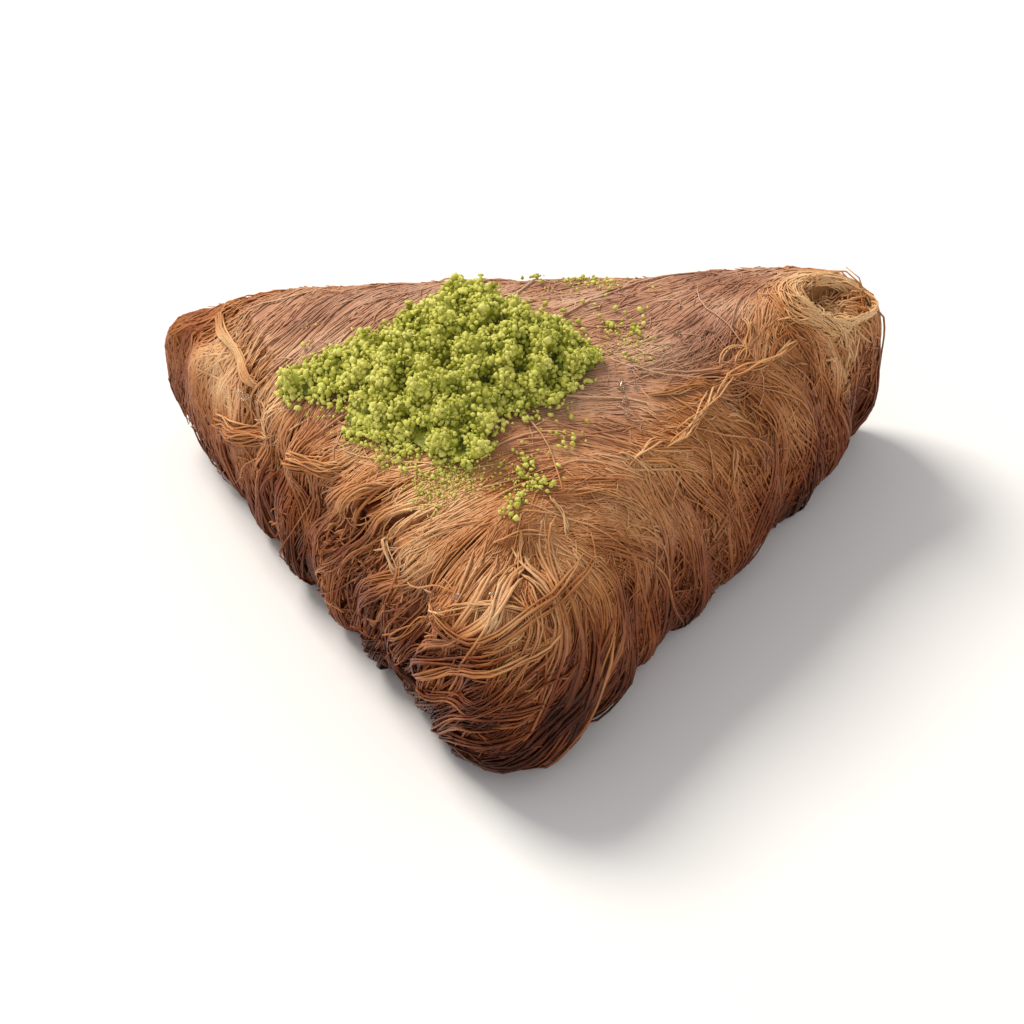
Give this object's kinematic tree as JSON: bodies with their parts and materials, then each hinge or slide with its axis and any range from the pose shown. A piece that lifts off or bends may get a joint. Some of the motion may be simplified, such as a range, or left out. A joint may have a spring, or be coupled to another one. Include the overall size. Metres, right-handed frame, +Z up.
{
  "type": "kataifi triangle",
  "caption": "Thick soft-edged triangle of baked shredded kataifi pastry in syrup, topped with a small heap of ground green pistachios.",
  "frame": {"origin": "middle of the pastry's foot, on the surface that it rests on", "axes": "+X along the long back edge towards the right corner, +Y from the front corner towards the back edge, +Z up"},
  "size_m": [0.0834, 0.0664, 0.0363],
  "materials": {
    "pastry": "fine baked threads with a satin syrup glaze",
    "ground_nuts": "matte irregular crumbs"
  },
  "bodies": {
    "root": {"pastry": "pastry", "nut_heap": "ground_nuts"}
  },
  "joints": []
}
